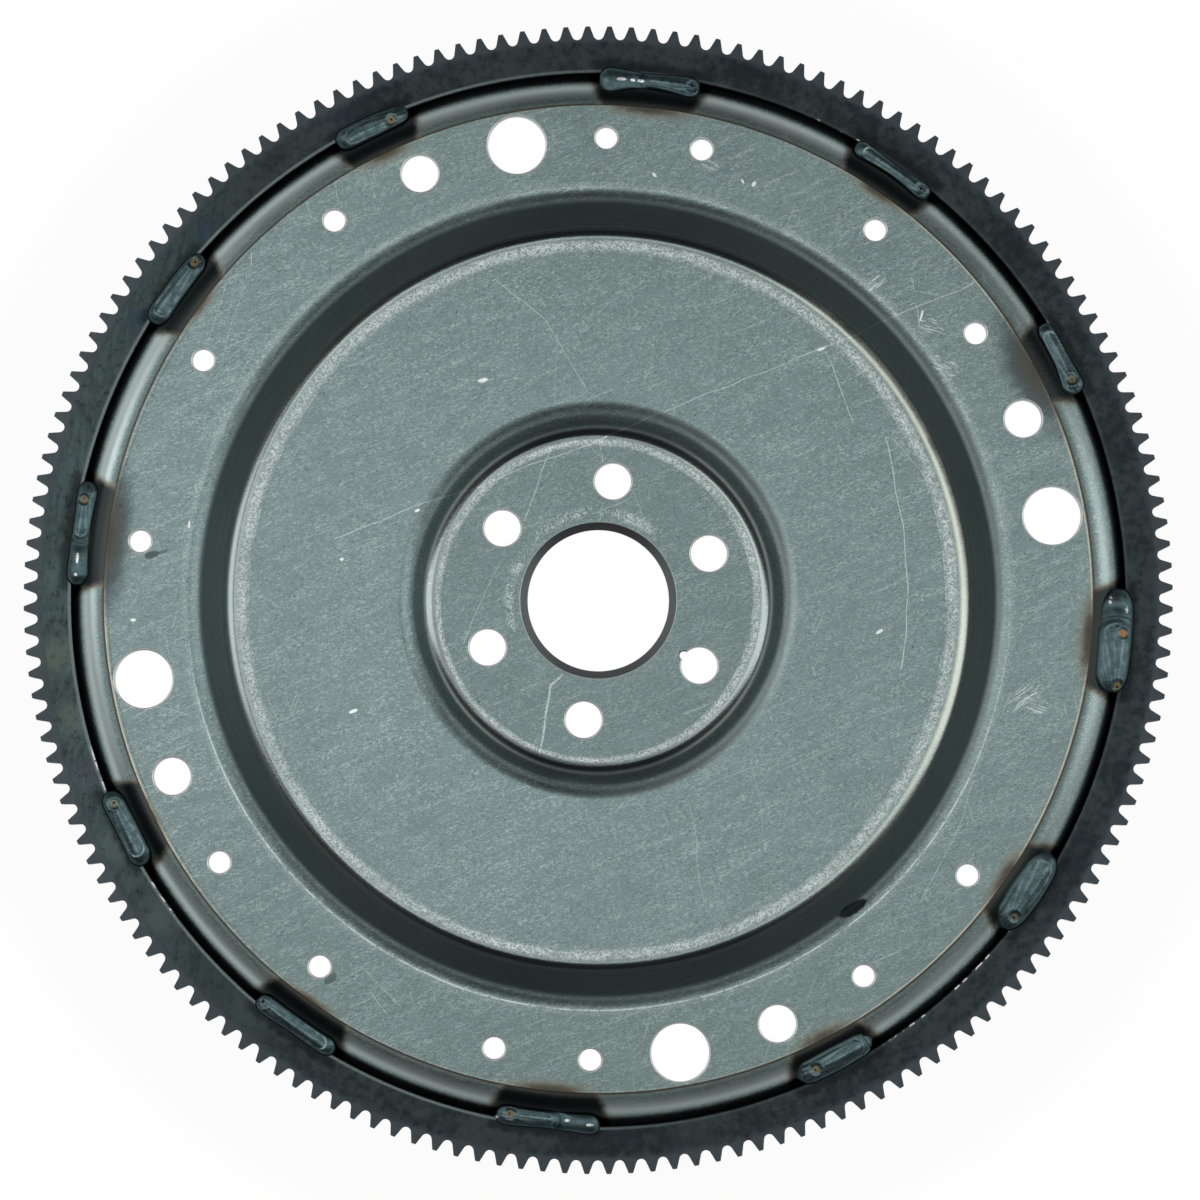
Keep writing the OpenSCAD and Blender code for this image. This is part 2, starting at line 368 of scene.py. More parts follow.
ring = dict(
    teeth=164, toothDepth=4.25 * mm, tipLand=1.4 * mm, flankAngle=20, firstTooth=1.06, rootSteps=6,
    boreBevel=0.5 * mm, leadIn=1.2 * mm, edgeBreak=0.22 * mm, overlap=0.6 * mm, spinSteps=492,
    boreSlack=0.01 * mm, bevelAngle=40, smoothAngle=40,
)


def toothOutline():
    tip = ringHigh.x
    root = tip - ring["toothDepth"]
    halfMouth = math.pi * tip / ring["teeth"] - ring["tipLand"] / 2
    slope = math.radians(ring["flankAngle"] + 180 / ring["teeth"])
    apex = tip - halfMouth / math.tan(slope)
    centre = (root - apex * math.sin(slope)) / (1 - math.sin(slope))
    bottom = (centre - apex) * math.sin(slope)
    sweep = math.pi - 2 * slope
    gap = [Vector((tip, -halfMouth))]
    for k in range(ring["rootSteps"] + 1):
        a = sweep * (k / ring["rootSteps"] - 0.5)
        gap.append(Vector((centre - bottom * math.cos(a), bottom * math.sin(a))))
    gap.append(Vector((tip, halfMouth)))
    points = []
    for i in range(ring["teeth"]):
        middle = math.radians(ring["firstTooth"] + (i + 0.5) * 360 / ring["teeth"])
        c, s = math.cos(middle), math.sin(middle)
        points += [(p.x * c - p.y * s, p.x * s + p.y * c) for p in gap]
    return points


def makeRing():
    outline = toothOutline()
    bore = rimRadius
    width = ringTop - rimBottom
    piece = startFrom("ring", bpy.ops.mesh.primitive_circle_add, vertices=len(outline), radius=bore)
    for vertex, (x, y) in zip(piece.data.vertices, outline):
        vertex.co = (x, y, ringTop)
    bpy.ops.object.mode_set(mode="EDIT")
    bpy.ops.mesh.select_all(action="SELECT")
    bpy.ops.mesh.extrude_region_move()
    bpy.ops.object.mode_set(mode="OBJECT")
    for vertex in piece.data.vertices:
        if vertex.select:
            vertex.co.xy = vertex.co.xy.normalized() * bore
    faceOutwards(piece)
    if piece.data.polygons[0].normal.z < 0:
        piece.data.flip_normals()
    applyModifier(piece, "SOLIDIFY", thickness=width, offset=-1)
    tip, lead, extra = ringHigh.x, ring["leadIn"], ring["overlap"]
    wedge = [(tip - lead - extra, rimBottom - extra), (tip + extra, rimBottom - extra),
             (tip + extra, rimBottom + lead + extra)]
    cutAway(piece, spunFromOutline("leadIn", wedge, ring["spinSteps"]))
    boreReach = bore + ring["boreSlack"]
    makeActive(piece)
    selectVertices(piece, lambda co: co.xy.length < boreReach)
    bpy.ops.object.mode_set(mode="EDIT")
    bpy.ops.mesh.select_mode(type="VERT")
    bpy.ops.mesh.select_mode(type="FACE")
    bpy.ops.mesh.select_mode(type="EDGE")
    bpy.ops.mesh.region_to_loop()
    bpy.ops.mesh.bevel(offset=ring["boreBevel"], segments=2, affect="EDGES")
    bpy.ops.object.mode_set(mode="OBJECT")
    applyModifier(piece, "BEVEL", width=ring["edgeBreak"], segments=2, limit_method="ANGLE",
                  angle_limit=math.radians(ring["bevelAngle"]))
    smoothFinish(piece, ring["smoothAngle"])
    addWeldAttributes(piece)
    return piece


ringPiece = makeRing()
print("ring:", len(ringPiece.data.polygons), "faces")


# beads: a sphere drawn out along the seam, with lobes, ripples, a pool and its end crater

bead = dict(
    segments=64, rings=150, capShare=0.2, capRatio=0.66, crown=1.5, crownLeast=0.86, fullWidth=8, sunk=2.4,
    grooveFloor=18.7, ceiling=23.6, rippleHeight=0.008, rippleLength=1.25, rippleBow=2.2,
    poolStep=0.2, poolShare=0.66, poolRim=0.32, poolLead=3.6, poolPastValley=1, poolTail=1.2,
    poolSoft=(0.5, 0.3), flowHeight=0.03, flowLines=2.4, flowLevel=0.3, flowFan=(1.1, 0.16),
    valleyDepth=0.7, valleyWidth=2.6, valleyBow=2.4, valleyShade=0.62, valleyLine=0.7,
    craterRadius=1.45, craterDepth=0.55, craterRim=0.12, rimReach=1.5, rimWidth=0.5,
    slagDome=0.3, domeShare=0.6, slagRadius=1.2, slagSoft=(0.7, 1.25), spotGlass=2.0,
    glintWidth=0.55, glintSoft=(0.5, 1.1), pitRadius=0.42, pitOffset=0.3, pitSoft=(0.6, 1.3),
    marks=("toeShade", "slag", "glint", "flowAndSheen"),
)


def ease(low, high, value):
    share = min(max((value - low) / (high - low), 0), 1)
    return share * share * (3 - 2 * share)


def bump(value, width):
    return math.exp(-(value / width) ** 2)


def along3(values, share):
    # a smooth way from the first value over the middle one to the last
    first, middle, last = values
    if share < 0.5:
        return first + (middle - first) * ease(0, 0.5, share)
    return middle + (last - middle) * ease(0.5, 1, share)


def shoulderHeight(radius):
    # height in millimetres of the plate's shoulder, and of the ring past its bore
    if radius > rimRadius / mm:
        return ringTop / mm
    centre = rimRadius / mm - shoulderBend / mm
    rise = max((shoulderBend / mm) ** 2 - max(radius - centre, 0) ** 2, 0)
    return max(shoulderTop / mm - shoulderBend / mm + math.sqrt(rise), bead["grooveFloor"])


def beadStation(weld, share):
    # place along the bead, and how full its section is there: its ends are round caps
    first, last = weld["reach"]
    cap = bead["capRatio"] * (sum(weld["outer"]) - sum(weld["inner"])) / 3
    capShare = bead["capShare"]
    if share < capShare:
        a = math.radians(90) * share / capShare
        return first + cap * (1 - math.cos(a)), math.sin(a)
    if share > 1 - capShare:
        a = math.radians(90) * (1 - share) / capShare
        return last - cap * (1 - math.cos(a)), math.sin(a)
    return first + cap + (last - first - 2 * cap) * (share - capShare) / (1 - 2 * capShare), 1


def inValley(weld, along, rise, width):
    # 1 in the bowed valley where two lobes meet, and 0 on a bead of one lobe
    if weld["valley"] is None:
        return 0
    return bump(along - weld["valley"] + bead["valleyBow"] * (rise - 0.5), width)


def poolAndFlow(weld, along, radius, seam, width):
    # how far a place is inside the last pool, its flow lines, how pale they are, and a painted highlight
    # along the pool's rim
    first, last = weld["reach"]
    crater, craterRadius = weld["crater"]
    half = bead["poolShare"] * width / 2
    start = first + bead["poolLead"]
    if weld["valley"] is not None:
        start = weld["valley"] + bead["poolPastValley"]
    nearest = min(max(along, start + half), last - bead["poolTail"] - half)
    apart = math.hypot(along - nearest, radius - seam)
    softInside, softOutside = bead["poolSoft"]
    inPool = 1 - ease(half - softInside, half + softOutside, apart)
    rim = bump(apart - half, bead["poolRim"]) * ease(last, first, along)
    narrow, spread = bead["flowFan"]
    fan = (radius - craterRadius) / (narrow + spread * abs(crater - along))
    lines = math.cos(math.pi * bead["flowLines"] * fan)
    return inPool, lines, max(rim, bead["flowLevel"] * (1 + lines) * inPool)


def craterShape(weld, along, radius):
    # height and slag of the end crater, and of a second spot where the bead has one
    spots = [(weld["crater"], weld["slag"])]
    if "spot" in weld:
        spots.append((weld["spot"], bead["spotGlass"]))
    height, slag = 0, 0
    for (spotAlong, spotRadius), glass in spots:
        apart = math.hypot(along - spotAlong, radius - spotRadius)
        height -= bead["craterDepth"] * bump(apart, bead["craterRadius"])
        height += bead["craterRim"] * bump(apart - bead["rimReach"] * bead["craterRadius"], bead["rimWidth"])
        height += bead["slagDome"] * bump(apart, bead["domeShare"] * bead["slagRadius"])
        slag = max(slag, glass * (1 - ease(*bead["slagSoft"], apart / bead["slagRadius"])))
    return height, slag


def glintAt(weld, along, radius):
    # above zero for a painted glint where the bead catches the light, below zero in the crater's pit
    glint = 0
    for glintAlong, glintRadius, size in weld.get("glints", ()):
        apart = math.hypot((along - glintAlong) / size, (radius - glintRadius) / bead["glintWidth"])
        glint = max(glint, 1 - ease(*bead["glintSoft"], apart))
    crater, craterRadius = weld["crater"]
    fromPit = math.hypot(along - crater - bead["pitOffset"], radius - craterRadius)
    return glint - 1 + ease(*bead["pitSoft"], fromPit / bead["pitRadius"])


def beadPoint(weld, share, turn):
    # place in millimetres of one point and its marks: share runs along the bead, turn round its section
    along, full = beadStation(weld, share)
    first, last = weld["reach"]
    way = (along - first) / (last - first)
    outer, inner = along3(weld["outer"], way), along3(weld["inner"], way)
    seam, width = (outer + inner) / 2, outer - inner
    half = width / 2 * full
    across, rise = -math.cos(turn), math.sin(turn)
    radius = seam + half * across
    toes = shoulderHeight(seam - half), shoulderHeight(seam + half)
    if rise < 0:
        floor = toes[0] + (toes[1] - toes[0]) * (across + 1) / 2
        return along, radius, floor + bead["sunk"] * rise * full, dict(toeShade=1, slag=0, glint=0, flowAndSheen=0)
    least = bead["crownLeast"]
    crown = bead["crown"] * (least + (1 - least) * width / bead["fullWidth"])
    crown -= bead["valleyDepth"] * inValley(weld, along, rise, bead["valleyWidth"])
    base = toes[0] if across < 0 else toes[1]
    inPool, lines, flowAndSheen = poolAndFlow(weld, along, radius, seam, width)
    ripple = math.cos(math.tau * (along - bead["rippleBow"] * across * across) / bead["rippleLength"])
    crater, slag = craterShape(weld, along, radius)
    height = base + (sum(toes) / 2 + crown * full - base) * rise + crater
    height += bead["rippleHeight"] * ripple * rise * full
    height += (bead["flowHeight"] * lines - bead["poolStep"]) * inPool
    # painted shade: strongest at the toes and in the valley between two lobes
    toeShade = max(1 - rise * full, bead["valleyShade"] * inValley(weld, along, rise, bead["valleyLine"]))
    marks = dict(toeShade=toeShade, slag=slag, glint=glintAt(weld, along, radius), flowAndSheen=flowAndSheen)
    return along, radius, min(height, bead["ceiling"]), marks


def makeBead(number, weld):
    name = f"bead{number:02d}"
    piece = startFrom(name, bpy.ops.mesh.primitive_uv_sphere_add, segments=bead["segments"],
                      ring_count=bead["rings"], radius=1)
    for key in bead["marks"]:
        piece.data.attributes.new(key, "FLOAT", "POINT")
    layers = {key: piece.data.attributes[key].data for key in bead["marks"]}
    for i, vertex in enumerate(piece.data.vertices):
        share = math.acos(min(max(vertex.co.z, -1), 1)) / math.pi
        turn = math.atan2(vertex.co.y, vertex.co.x)
        along, radius, height, marks = beadPoint(weld, share, turn)
        angle = math.degrees(along / weldLine)
        vertex.co = onCircle(radius * mm, weld["angle"] - angle, height * mm)
        for key, value in marks.items():
            layers[key][i].value = value
    faceOutwards(piece)
    bpy.ops.object.shade_smooth()
    return piece


beadPieces = [makeBead(i + 1, weld) for i, weld in enumerate(welds)]
print("beads:", len(beadPieces))


# shader helper: a wire is one socket, and sums on wires add Math nodes

class Wire:
    def __init__(self, tree, socket=None):
        self.tree = tree
        self.socket = socket

    def node(self, kind, settings=None, sockets=None, out=0):
        made = self.tree.nodes.new(kind)
        for name, value in (settings or {}).items():
            setattr(made, name, value)
        for name, value in (sockets or {}).items():
            if isinstance(value, Wire):
                self.tree.links.new(value.socket, made.inputs[name])
            else:
                made.inputs[name].default_value = value
        return Wire(self.tree, made.outputs[out] if made.outputs else None)

    def math(self, operation, *values):
        return self.node("ShaderNodeMath", {"operation": operation}, dict(enumerate(values)))

    def __add__(self, other):
        return self.math("ADD", self, other)

    def __radd__(self, other):
        return self.math("ADD", other, self)

    def __sub__(self, other):
        return self.math("SUBTRACT", self, other)

    def __rsub__(self, other):
        return self.math("SUBTRACT", other, self)

    def __mul__(self, other):
        return self.math("MULTIPLY", self, other)

    def __rmul__(self, other):
        return self.math("MULTIPLY", other, self)

    def __truediv__(self, other):
        return self.math("DIVIDE", self, other)

    def __rtruediv__(self, other):
        return self.math("DIVIDE", other, self)

    def __pow__(self, other):
        return self.math("POWER", self, other)

    def __abs__(self):
        return self.math("ABSOLUTE", self)

    def most(self, other):
        return self.math("MAXIMUM", self, other)

    def least(self, other):
        return self.math("MINIMUM", self, other)

    def step(self, low, high):
        # 0 below low and 1 above high, or the other way round where low is the larger
        turned = low > high
        ends = {"From Min": min(low, high), "From Max": max(low, high),
                "To Min": 1.0 if turned else 0.0, "To Max": 0.0 if turned else 1.0}
        smooth = {"interpolation_type": "SMOOTHSTEP"}
        return self.node("ShaderNodeMapRange", smooth, {"Value": self, **ends})

    def band(self, middle, half, soft):
        return abs(self - middle).step(half + soft, max(half - soft, 0))

    def noise(self, scale, detail=2.0, roughness=0.5):
        sockets = {"Vector": self, "Scale": scale, "Detail": detail, "Roughness": roughness}
        return self.node("ShaderNodeTexNoise", None, sockets)

    def streaks(self, angle, length, width, detail=1.0):
        # noise drawn out along a direction, with the streaks' length and width in millimetres
        sockets = {"Vector": self, "Rotation": (0, 0, math.radians(angle)), "Scale": (length, width, 1.0)}
        laid = self.node("ShaderNodeMapping", {"vector_type": "TEXTURE"}, sockets)
        return laid.noise(1.0, detail, 0.6)

    def mark(self, name):
        # an attribute of the piece's own points or faces
        return self.node("ShaderNodeAttribute", {"attribute_name": name}, None, "Fac")

    def dot(self, direction):
        settings = {"operation": "DOT_PRODUCT"}
        return self.node("ShaderNodeVectorMath", settings, {0: self, 1: direction}, "Value")

    def tint(self, under, over):
        # colour under where the wire is 0, colour over where it is 1
        sockets = {0: self, 6: asColour(under), 7: asColour(over)}
        return self.node("ShaderNodeMix", {"data_type": "RGBA"}, sockets, 2)


def asColour(value):
    return value if isinstance(value, Wire) else (*value, 1.0)


def newMaterial(name):
    material = bpy.data.materials.new(name)
    material.use_nodes = True
    tree = material.node_tree
    tree.nodes.clear()
    start = Wire(tree)
    place = start.node("ShaderNodeTexCoord", None, None, "Object")
    place = place.node("ShaderNodeVectorMath", {"operation": "SCALE"}, {0: place, "Scale": 1 / mm})
    return material, place


def finishMaterial(place, surface):
    shader = place.node("ShaderNodeBsdfPrincipled", None, surface)
    place.node("ShaderNodeOutputMaterial", None, {"Surface": shader})


def axisWires(place):
    # x, y, z and the distance from the plate's axis, all in millimetres
    parts = place.node("ShaderNodeSeparateXYZ", None, {0: place})
    outputs = parts.socket.node.outputs
    x, y, z = (Wire(place.tree, outputs[i]) for i in range(3))
    return x, y, z, (x * x + y * y) ** 0.5


def awayFrom(x, y, px, py):
    return ((x - px) * (x - px) + (y - py) * (y - py)) ** 0.5


def bumped(height, strength, distance):
    sockets = {"Height": height, "Strength": strength, "Distance": distance * mm}
    return height.node("ShaderNodeBump", None, sockets)


# plate steel: grey-green sheet with rolled flecks, scratches, punch marks and heat tint, and painted shade
# and highlights on its bends and edges
# scratches: lines through x, y places in millimetres, with half width and strength
# brushes, chips and stains: x, y, half length and half width in millimetres, angle, and a stain's strength
# bands: radii in millimetres of the dish's mark, then of the hub's

plateSteel = dict(
    colour=(0.190, 0.258, 0.253), fleckAndSheen=(0.47, 0.56, 0.55), dark=(0.070, 0.100, 0.099),
    burnished=(0.250, 0.290, 0.28), grain=(0.64, 0.70, 0.69), scuffAndSheen=(0.66, 0.74, 0.73),
    wall=(0.092, 0.118, 0.118), boreEdge=(0.100, 0.104, 0.106), boreHighlight=(0.45, 0.50, 0.49),
    lip=(0.80, 0.79, 0.79), chip=(0.80, 0.83, 0.82), oilAndShade=(0.010, 0.013, 0.013), rubAndSheen=(0.50, 0.54, 0.47),
    burnt=(0.019, 0.026, 0.028), brown=(0.078, 0.060, 0.043), straw=(0.20, 0.19, 0.135),
    blued=(0.046, 0.054, 0.057), landEdge=(0.50, 0.495, 0.42), shoulder=(0.73, 0.86, 0.84),
    roughness=0.40, burnishedRoughness=0.2, shoulderRoughness=0.36, grainAngle=20, scratchWander=1.5,
    wallBands=(120.9, 56.6), browBands=(126.4, 60.4), footBands=(115.4, 53.4), punchBands=(112.4, 50.9),
    punchLines=(110.2, 49.6), punchOffset=(-0.45, -0.3), rubAndSheenRadius=115.5, footShade=117.6,
    rubLine=129.4, browSheenBand=129.7, burnLine=161.5, hubFloorEdge=51, hubWallFoot=55.5,
    hubScuff=28.3, boreBevel=24.85,
    scratches=(
        ((-83, 19), (-1.5, 50.5), (124.5, 101.5), 0.13, 0.75),
        ((90.5, 51.3), (92, 44.8), (94.8, 31.5), (97, 18.7), (97.4, 1.7), (97, -7.8), (95.5, -22),
         0.16, 0.85),
        ((91, 51.3), (93.2, 50.3), (101, 41.8), (104.3, 37.3), 0.13, 0.5),
        ((-32.6, 102), (-17, 88), (-4.3, 67.5), 0.12, 0.6), ((-13.5, 84.5), (-13.5, 62.6), 0.09, 0.4),
        ((72, 79), (74.5, 71), (77.6, 63), (80.8, 55.7), 0.15, 0.7),
        ((-11.3, -23), (-15.4, -26.8), (-18.6, -48.6), 0.30, 0.75),
        ((-14.5, 48.5), (-23.7, 24.8), 0.13, 0.65), ((-30.4, 13), (-42.7, -13), 0.12, 0.5),
        ((0.4, 51.4), (1.6, 43.5), 0.14, 0.6), ((1.3, 30.8), (0.6, 25.2), 0.12, 0.5),
        ((10.8, 35.3), (16.5, 20.4), 0.10, 0.45), ((28.7, -63.3), (33.5, -95), 0.11, 0.45),
        ((49.3, -54), (52.5, -79), 0.09, 0.35), ((-105, -28.6), (-84.8, -82.2), 0.08, 0.3),
        ((99.3, 91.8), (100.5, 85.2), (109, 82.3), 0.13, 0.7),
        ((98.3, 100.6), (98.6, 96.5), (106.8, 95.2), 0.12, 0.6),
        ((-82.8, 130.4), (-81.9, 124.7), 0.12, 0.6), ((-91.6, 124.4), (-90.3, 119), 0.12, 0.55),
        ((-109.2, 108.8), (-109.2, 104.6), 0.16, 0.8), ((-117.6, 97.8), (-122.4, 81.2), 0.10, 0.45),
        ((-112, 99), (-118, 75.8), 0.09, 0.4), ((-71.3, -123.4), (-66.5, -130), 0.12, 0.55),
        ((-73.1, -116.7), (-61.5, -128.6), 0.10, 0.45),
        ((117.6, -57.9), (110.6, -77), (100.7, -95.5), 0.11, 0.55),
        ((-145.9, -37.6), (-139, -34.2), (-128.1, -36.5), 0.12, 0.5),
    ),
    brushes=((87.6, 98.9, 3.2, 2.2, 35), (104.5, 86, 5, 2.4, -20), (108.6, 72.6, 5, 2.8, -20),
             (133, -31.6, 6, 3, 35), (137, -34, 5, 2.4, -20), (35.1, 136.0, 2.8, 1.8, -20),
             (112, 60, 3, 1.4, -20)),
    chips=((-36.4, 69.3, 1.6, 0.6, 10), (-77.3, -35.4, 1.4, 0.55, 20), (88.8, -10.2, 1.3, 0.5, 30),
           (17.6, 133.1, 0.9, 0.5, -50), (45.4, 131.0, 0.8, 0.35, -60), (49.0, 130.2, 0.9, 0.6, 60),
           (70.5, 79.2, 1.4, 0.45, 20), (-57.2, 28, 0.8, 0.45, 20), (-81, 12.6, 0.6, 0.45, 0),
           (101.6, 88.6, 1.9, 0.35, 75), (-128.4, 22.8, 1.2, 0.3, 85), (-145.9, -7.1, 0.9, 0.5, 0)),
    stains=((79.5, -97.6, 5.0, 1.7, 32, 0.9), (-140, 13.4, 2.4, 1.2, 15, 0.6),
            (-150, 28.7, 0.7, 0.6, 0, 0.8), (-83.7, -119.4, 2.2, 1.4, 40, 0.45),
            (-136.6, 14.3, 1.6, 0.5, 15, 0.4)),
)


def scratchMask(place, scratch):
    *points, half, strength = scratch
    parts = []
    for (x0, y0), (x1, y1) in zip(points, points[1:]):
        length = math.hypot(x1 - x0, y1 - y0)
        ux, uy = (x1 - x0) / length, (y1 - y0) / length
        along, across = place.dot((ux, uy, 0)), place.dot((-uy, ux, 0))
        along = along.math("COMPARE", along, x0 * ux + y0 * uy + length / 2, length / 2)
        parts.append(along * across.math("COMPARE", across, y0 * ux - x0 * uy, half))
    return reduce(Wire.most, parts) * strength


def spotMask(place, spot, ragged):
    x, y, longer, shorter, angle = spot
    ux, uy = math.cos(math.radians(angle)), math.sin(math.radians(angle))
    along = (place.dot((ux, uy, 0)) - (x * ux + y * uy)) / longer
    across = (place.dot((-uy, ux, 0)) - (y * ux - x * uy)) / shorter
    return (along * along + across * across + ragged).step(1.25, 0.75)


def plateMaterial():
    look = plateSteel
    material, place = newMaterial("plateSteel")
    x, y, z, r = axisWires(place)
    inside, heat = place.mark("weldInside"), place.mark("weldHeat")
    hubFloor, dishFloor = plate["sheet"] / mm, (plate["sheet"] + plate["hubStep"]) / mm
    flange, land = flangeTop / mm, landRadius / mm
    cloud = place.noise(0.02, 2.0)
    mottle = place.noise(0.13, 2.0, 0.6)
    grain = place.streaks(look["grainAngle"], 1.5, 0.40, 2.0)
    drawn = place.streaks(look["grainAngle"] + 5, 13, 2.2, 2.0)
    fine = place.noise(2.1, 1.0, 0.6)
    worn = place.noise(0.7, 1.0, 0.65)
    flecks = (grain * 0.45 + fine * 0.35 + drawn * 0.2).step(0.48, 0.66)
    pits = (grain * 0.45 + fine * 0.55).step(0.45, 0.33)
    colour = (cloud * 0.65 + mottle * 0.35).step(0.3, 0.7).tint(
        tuple(c * 0.88 for c in look["colour"]), tuple(c * 1.12 for c in look["colour"]))
    colour = (flecks * 0.66).tint(colour, look["fleckAndSheen"])
    colour = (pits * 0.6).most(worn.step(0.25, 0.2) * 0.85).tint(colour, look["dark"])

    # the hub's floor is a little darker, and the walls get painted shade for the dark their steep faces
    # show, with fine drawn rings
    edge, foot = look["hubFloorEdge"], look["hubWallFoot"]
    colour = (r.step(edge + 1, edge - 1) * 0.18).tint(colour, look["dark"])
    onHub = r.step(foot + 0.5, foot - 0.5)
    wave = r * 3.1 + mottle * 0.8
    rings = wave.math("SINE", wave) * 0.5 + 0.5
    dish, hub = look["wallBands"]
    walls = r.band(dish, 4.5, 0.6) * z.step(dishFloor, dishFloor + 0.5)
    walls = walls.most(r.band(hub, 1.9, 0.6) * z.step(hubFloor + 0.1, hubFloor + 1) * 0.65)
    colour = (walls * (0.82 + rings * 0.05)).tint(colour, look["wall"])
    dish, hub = look["browBands"]
    # painted highlight: the dish's brow lighter to the right and away from the bottom, the hub's brow
    # lighter to the right
    browSheen = r.band(dish, 1.5, 1.2) * z.step(flange - 4.7, flange - 1.7)
    browSheen = browSheen * x.step(10, 100) * y.step(-90, -20) * 0.3
    hubBrow = r.band(hub, 1.8, 1.4) * z.step(dishFloor - 3.2, dishFloor - 1.2)
    browSheen = browSheen.most(hubBrow * x.step(-10, 50) * 0.45)
    colour = browSheen.tint(colour, look["fleckAndSheen"])

    # punch marks: a stippled band inside each foot bend, and the burnished bend itself
    punch = awayFrom(x, y, *look["punchOffset"]) + (cloud - 0.5) * 2.4
    dish, hub = look["punchBands"]
    stipple = punch.band(dish, 1.6, 1.0).most(punch.band(hub, 1.2, 0.7))
    floors = onHub * z.step(hubFloor - 0.2, hubFloor - 0.05)
    floors = z.step(dishFloor - 0.2, dishFloor - 0.05).most(floors) * z.step(flange - 0.7, flange - 1.7)
    stipple = stipple * floors * (0.6 + 0.4 * mottle.step(0.3, 0.6))
    dish, hub = look["punchLines"]
    thinLines = punch.band(hub, 0.14, 0.1) + punch.band(dish, 0.12, 0.1)
    stipple = stipple.most(thinLines * floors * mottle.step(0.42, 0.55))
    specks = 0.16 + 0.84 * (fine * 0.7 + worn * 0.3).step(0.40, 0.62)
    colour = (stipple * specks).tint(colour, look["grain"])
    dish, hub = look["footBands"]
    foot = r.band(dish, 1.5, 0.6) * z.step(dishFloor - 0.1, dishFloor + 0.1)
    foot = foot.most(r.band(hub, 1.8, 0.7) * z.step(hubFloor - 0.15, hubFloor))
    colour = (foot * 0.9).tint(colour, look["burnished"])
    # painted shade: the foot bends darker at the top and bottom, away from the side lights
    colour = (foot * (abs(x) / r).step(0.7, 0.3) * 0.8).tint(colour, look["wall"])
    # a rubbed band on the foot bends at the right, carrying a painted highlight, weaker towards the bottom
    rubAndSheen = (r + (worn - 0.5) * 0.4).band(look["rubAndSheenRadius"], 1.35, 0.4) * x.step(45, 90) * floors
    rubAndSheen = rubAndSheen * (1 - y.step(-20, -80) * 0.8)
    rubAndSheen = rubAndSheen * (0.55 + 0.45 * (mottle * 0.6 + fine * 0.4).step(0.4, 0.55))
    colour = rubAndSheen.tint(colour, look["rubAndSheen"])
    # painted shade: a near-black band just past the dish's foot highlight
    shade = r.band(look["footShade"], 0.8, 0.7) * z.step(dishFloor + 0.1, dishFloor + 0.6)
    colour = (shade * 0.5).tint(colour, look["oilAndShade"])

    # rubbed line along the flange's inner edge, broken by noise, with a painted highlight on it strongest at
    # the bottom, a soft painted highlight band on the brow, and painted shade on the flange's lower side
    flangeFace = z.step(flange - 0.3, flange - 0.1)
    edgeRubAndSheen = (r + (cloud - 0.5) * 1.4).band(look["rubLine"], 0.22, 0.16) * worn.step(0.28, 0.5)
    edgeRubAndSheen = edgeRubAndSheen * (0.14 + y.step(10, -70) * 0.7) * (0.5 + 0.5 * mottle.step(0.35, 0.55)) * flangeFace
    edgeRubAndSheen = edgeRubAndSheen.most(r.band(look["browSheenBand"], 1.1, 0.9) * flangeFace * (0.06 + 0.16 * fine.step(0.45, 0.65)))
    colour = edgeRubAndSheen.tint(colour, look["scuffAndSheen"])
    colour = (y.step(-10, -130) * flangeFace * 0.13).tint(colour, look["dark"])

    # scratches of handling, the faint ones by noise and the plain ones one by one
    wander = look["scratchWander"]
    shaken = place.node("ShaderNodeTexNoise", None, {"Vector": place, "Scale": 0.06, "Detail": 1.0}, "Color")
    shaken = place.node("ShaderNodeVectorMath", {"operation": "MULTIPLY_ADD"},
                        {0: shaken, 1: (2 * wander, 2 * wander, 0.0), 2: place})
    shaken = place.node("ShaderNodeVectorMath", {"operation": "SUBTRACT"},
                        {0: shaken, 1: (wander, wander, 0.0)})
    crowded = cloud.step(0.45, 0.65)
    marks = shaken.streaks(21, 30, 0.42).step(0.71, 0.76) * 0.4
    for angle, length in ((68, 12), (-76, 15)):
        marks = marks.most(shaken.streaks(angle, length, 0.40).step(0.72, 0.77) * crowded * 0.45)
    strokes = {angle: shaken.streaks(angle, 5, 0.42).step(0.53, 0.62) for angle in (-20, 35)}
    for *spot, angle in look["brushes"]:
        brushed = spotMask(place, (*spot, angle), (worn - 0.5) * 3)
        marks = marks.most(brushed * strokes[angle] * 0.85)
    lines = reduce(Wire.most, [scratchMask(shaken, scratch) for scratch in look["scratches"]])
    marks = marks.most(lines * (0.45 + 0.55 * worn.step(0.3, 0.55)))
    scuffs = (r + (mottle - 0.5) * 3).band(look["hubScuff"], 1.4, 0.9) * (y - x).step(-8, 16)
    scuffs = scuffs * z.step(hubFloor - 0.2, hubFloor - 0.05) * (fine * 0.5 + mottle * 0.5).step(0.5, 0.62)
    marks = marks.most(scuffs * 0.8) * (1 - walls * 0.8)
    colour = (marks * 0.8).tint(colour, look["scuffAndSheen"])
    ragged = (fine * 0.6 + worn * 0.4 - 0.5) * 2.4
    for chip in look["chips"]:
        colour = (spotMask(place, chip, ragged) * 0.95).tint(colour, look["chip"])
    blotchy = (mottle * 0.5 + worn * 0.5 - 0.5) * 1.8
    for *stain, strength in look["stains"]:
        colour = (spotMask(place, stain, blotchy) * strength).tint(colour, look["oilAndShade"])

